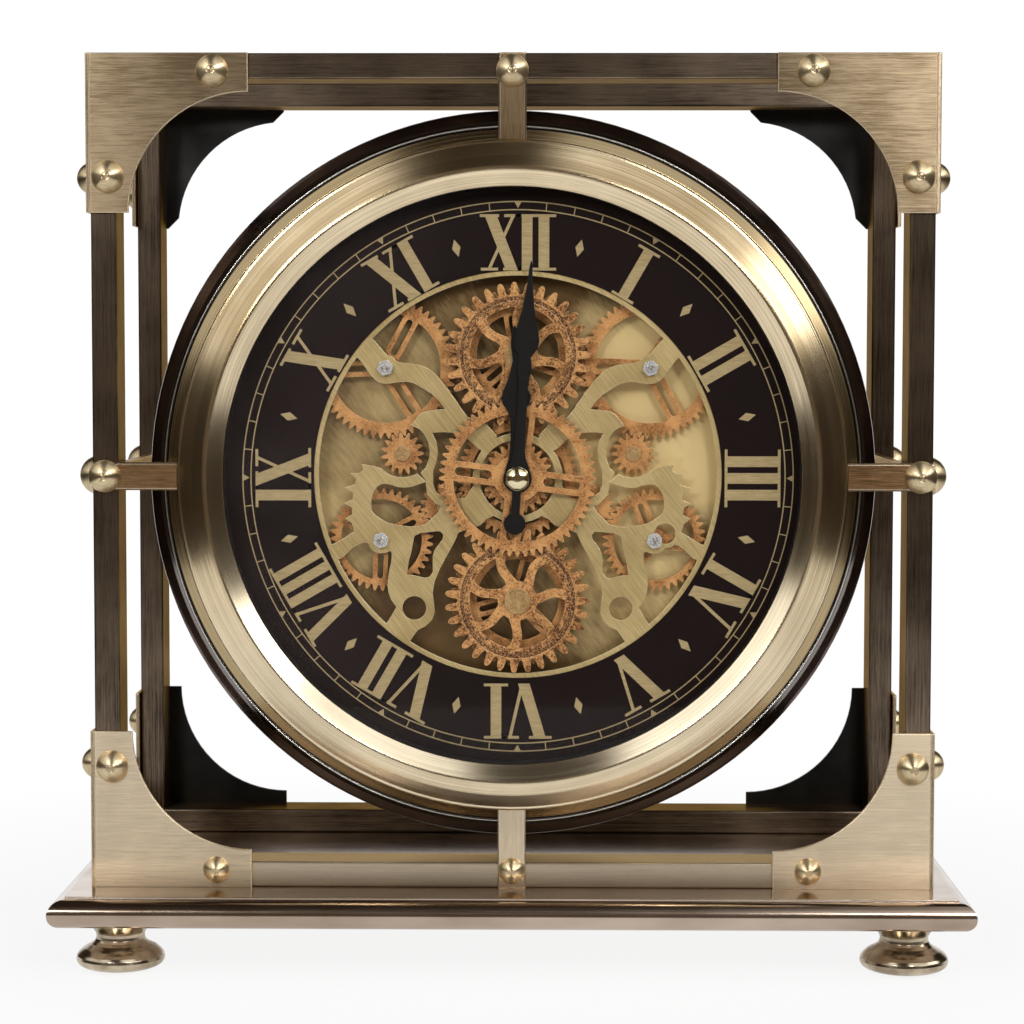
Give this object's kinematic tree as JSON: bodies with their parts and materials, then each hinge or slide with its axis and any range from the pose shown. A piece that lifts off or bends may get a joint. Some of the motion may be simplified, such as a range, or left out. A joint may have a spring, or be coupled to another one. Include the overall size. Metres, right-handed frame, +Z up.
{
  "type": "gear desk clock",
  "caption": "Square tube-frame desk clock with a round drum on four straps, an open skeleton gear train behind glass, a numeral ring, corner plates and a footed base slab.",
  "frame": {"origin": "middle of the footprint at the underside of the foot pads", "axes": "+Z up, the dial faces -Y, +X to the viewer's right"},
  "size_m": [0.36, 0.195, 0.3605],
  "materials": {
    "tube_bronze": "brushed antique",
    "base_bronze": "polished antique",
    "turned_brass": "polished antique",
    "pad_rubber": "matt",
    "plate_brass": "brushed antique",
    "plate_dark": "dark antique",
    "ball_brass": "polished",
    "strap_brass": "brushed antique",
    "drum_black": "gloss",
    "cover_black": "satin",
    "bezel_brass": "turned and brushed",
    "clear_glass": "clear",
    "ring_black": "satin",
    "dial_brown": "satin",
    "skeleton_brass": "brushed",
    "back_brass": "brushed",
    "arbor_brass": "satin",
    "nut_steel": "plated",
    "gear_copper": "speckled copper patina",
    "hand_black": "satin",
    "box_plastic": "matt"
  },
  "bodies": {
    "clock": {"base": "base_bronze", "foot_front_left": "turned_brass", "foot_front_right": "turned_brass", "foot_rear_left": "turned_brass", "foot_rear_right": "turned_brass", "foot_pads": "pad_rubber", "tube_front_left": "tube_bronze", "tube_front_right": "tube_bronze", "tube_front_top": "tube_bronze", "tube_front_bottom": "tube_bronze", "tube_rear_left": "tube_bronze", "tube_rear_right": "tube_bronze", "tube_rear_top": "tube_bronze", "tube_rear_bottom": "tube_bronze", "depth_rails": "tube_bronze", "gussets_front": "plate_brass", "gussets_rear": "plate_dark", "gussets_left": "plate_brass", "gussets_right": "plate_brass", "balls_front": "ball_brass", "balls_small": "ball_brass", "balls_left": "ball_brass", "balls_right": "ball_brass", "balls_rear": "ball_brass", "strap_top": "strap_brass", "strap_bottom": "strap_brass", "strap_left": "strap_brass", "strap_right": "strap_brass", "tie_bars": "tube_bronze", "drum_shell": "drum_black", "rear_cover": "cover_black", "bezel": "bezel_brass", "glass": "clear_glass", "inner_ring": "ring_black", "chapter_ring": "dial_brown", "skeleton_plate": "skeleton_brass", "back_plate": "back_brass", "plate_posts": "arbor_brass", "plate_nuts": "nut_steel", "arbors": "arbor_brass", "movement_box": "box_plastic"},
    "center_train": {"center_gear": "gear_copper", "center_rear_gear": "gear_copper", "center_small_gear": "gear_copper"},
    "upper_train": {"upper_wheel": "gear_copper", "upper_gear": "gear_copper"},
    "lower_train": {"lower_wheel": "gear_copper", "lower_gear": "gear_copper"},
    "upper_left": {"gear_upper_left": "gear_copper"},
    "upper_right": {"gear_upper_right": "gear_copper"},
    "pinion_l": {"pinion_left": "gear_copper"},
    "pinion_r": {"pinion_right": "gear_copper"},
    "idler_l": {"idler_left": "gear_copper"},
    "idler_r": {"idler_right": "gear_copper"},
    "lower_left": {"gear_lower_left": "gear_copper"},
    "lower_right": {"gear_lower_right": "gear_copper"},
    "hour": {"hour_hand": "hand_black"},
    "minute": {"minute_hand": "hand_black"},
    "knob": {"set_knob": "box_plastic"},
    "door": {"battery_door": "box_plastic"}
  },
  "joints": [
    {"name": "center_spin", "type": "hinge", "parent": "clock", "child": "center_train", "pos_m": [0.0021, -0.06, 0.1947], "axis": [0, 1, 0], "continuous": true},
    {"name": "upper_spin", "type": "hinge", "parent": "clock", "child": "upper_train", "pos_m": [0.0021, -0.06, 0.2432], "axis": [0, 1, 0], "continuous": true},
    {"name": "lower_spin", "type": "hinge", "parent": "clock", "child": "lower_train", "pos_m": [0.0021, -0.06, 0.1462], "axis": [0, 1, 0], "continuous": true},
    {"name": "upper_left_spin", "type": "hinge", "parent": "clock", "child": "upper_left", "pos_m": [-0.05015, -0.06, 0.23808], "axis": [0, 1, 0], "continuous": true},
    {"name": "pinion_left_spin", "type": "hinge", "parent": "clock", "child": "pinion_l", "pos_m": [-0.04357, -0.06, 0.20421], "axis": [0, 1, 0], "continuous": true},
    {"name": "idler_left_spin", "type": "hinge", "parent": "clock", "child": "idler_l", "pos_m": [-0.02711, -0.06, 0.1829], "axis": [0, 1, 0], "continuous": true},
    {"name": "lower_left_spin", "type": "hinge", "parent": "clock", "child": "lower_left", "pos_m": [-0.05197, -0.06, 0.17001], "axis": [0, 1, 0], "continuous": true},
    {"name": "upper_right_spin", "type": "hinge", "parent": "clock", "child": "upper_right", "pos_m": [0.05435, -0.06, 0.23808], "axis": [0, 1, 0], "continuous": true},
    {"name": "pinion_right_spin", "type": "hinge", "parent": "clock", "child": "pinion_r", "pos_m": [0.04777, -0.06, 0.20421], "axis": [0, 1, 0], "continuous": true},
    {"name": "idler_right_spin", "type": "hinge", "parent": "clock", "child": "idler_r", "pos_m": [0.03131, -0.06, 0.1829], "axis": [0, 1, 0], "continuous": true},
    {"name": "lower_right_spin", "type": "hinge", "parent": "clock", "child": "lower_right", "pos_m": [0.05617, -0.06, 0.17001], "axis": [0, 1, 0], "continuous": true},
    {"name": "minute_turn", "type": "hinge", "parent": "clock", "child": "minute", "pos_m": [0.0021, -0.06, 0.1947], "axis": [0, 1, 0], "continuous": true},
    {"name": "hour_turn", "type": "hinge", "parent": "clock", "child": "hour", "pos_m": [0.0021, -0.06, 0.1947], "axis": [0, 1, 0], "continuous": true},
    {"name": "knob_turn", "type": "hinge", "parent": "clock", "child": "knob", "pos_m": [-0.0099, -0.06, 0.1947], "axis": [0, 1, 0], "continuous": true},
    {"name": "door_turn", "type": "hinge", "parent": "clock", "child": "door", "pos_m": [0.0256, -0.0349, 0.1947], "axis": [0, 0, -1], "range_deg": [0, 85]}
  ],
  "couplings": [
    {"joint": "upper_spin", "follows": "center_spin", "ratio": -0.90196},
    {"joint": "lower_spin", "follows": "center_spin", "ratio": -0.90196},
    {"joint": "upper_left_spin", "follows": "center_spin", "ratio": 0.85185},
    {"joint": "pinion_left_spin", "follows": "center_spin", "ratio": -3.0667},
    {"joint": "idler_left_spin", "follows": "center_spin", "ratio": -2.7059},
    {"joint": "lower_left_spin", "follows": "center_spin", "ratio": 1.1795},
    {"joint": "upper_right_spin", "follows": "center_spin", "ratio": 0.85185},
    {"joint": "pinion_right_spin", "follows": "center_spin", "ratio": -3.0667},
    {"joint": "idler_right_spin", "follows": "center_spin", "ratio": -2.7059},
    {"joint": "lower_right_spin", "follows": "center_spin", "ratio": 1.1795},
    {"joint": "hour_turn", "follows": "minute_turn", "ratio": 0.083333},
    {"joint": "knob_turn", "follows": "minute_turn", "ratio": 1}
  ]
}
